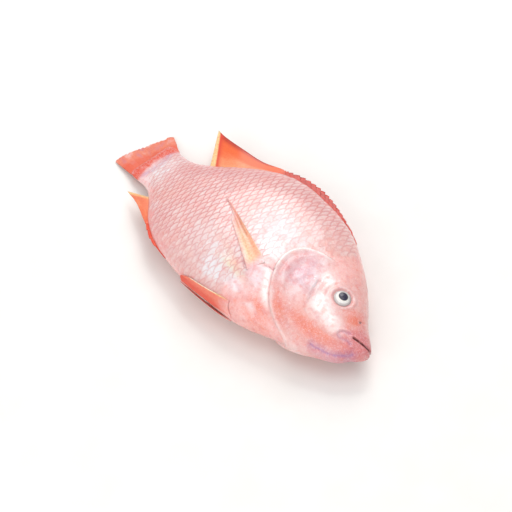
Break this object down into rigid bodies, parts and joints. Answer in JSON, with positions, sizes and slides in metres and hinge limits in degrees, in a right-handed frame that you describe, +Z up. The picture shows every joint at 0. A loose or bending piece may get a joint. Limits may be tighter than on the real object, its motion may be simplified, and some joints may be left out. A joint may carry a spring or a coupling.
{
  "type": "whole tilapia",
  "caption": "Whole uncooked red tilapia lying on its flank: deep scaled body with fan tail, swept back and belly fins, folded side fins and round eyes.",
  "frame": {"origin": "on the table plane, under the middle of the whole fish's bounding box", "axes": "+X towards the snout, +Y towards the back, +Z up out of the upper flank"},
  "size_m": [0.277, 0.1346, 0.0455],
  "materials": {
    "skin": "wet scaled skin, pale pink with lavender-white and salmon patches",
    "fin": "wet orange-red fin membrane over rays",
    "eye": "wet silvery iris with a dark pupil"
  },
  "bodies": {
    "root": {"body": "skin", "tail_fin": "fin", "dorsal_fin": "fin", "anal_fin": "fin", "pectoral_fin_right": "fin", "pectoral_fin_left": "fin", "pelvic_fin_right": "fin", "pelvic_fin_left": "fin", "eye_right": "eye", "eye_left": "eye"}
  },
  "joints": []
}
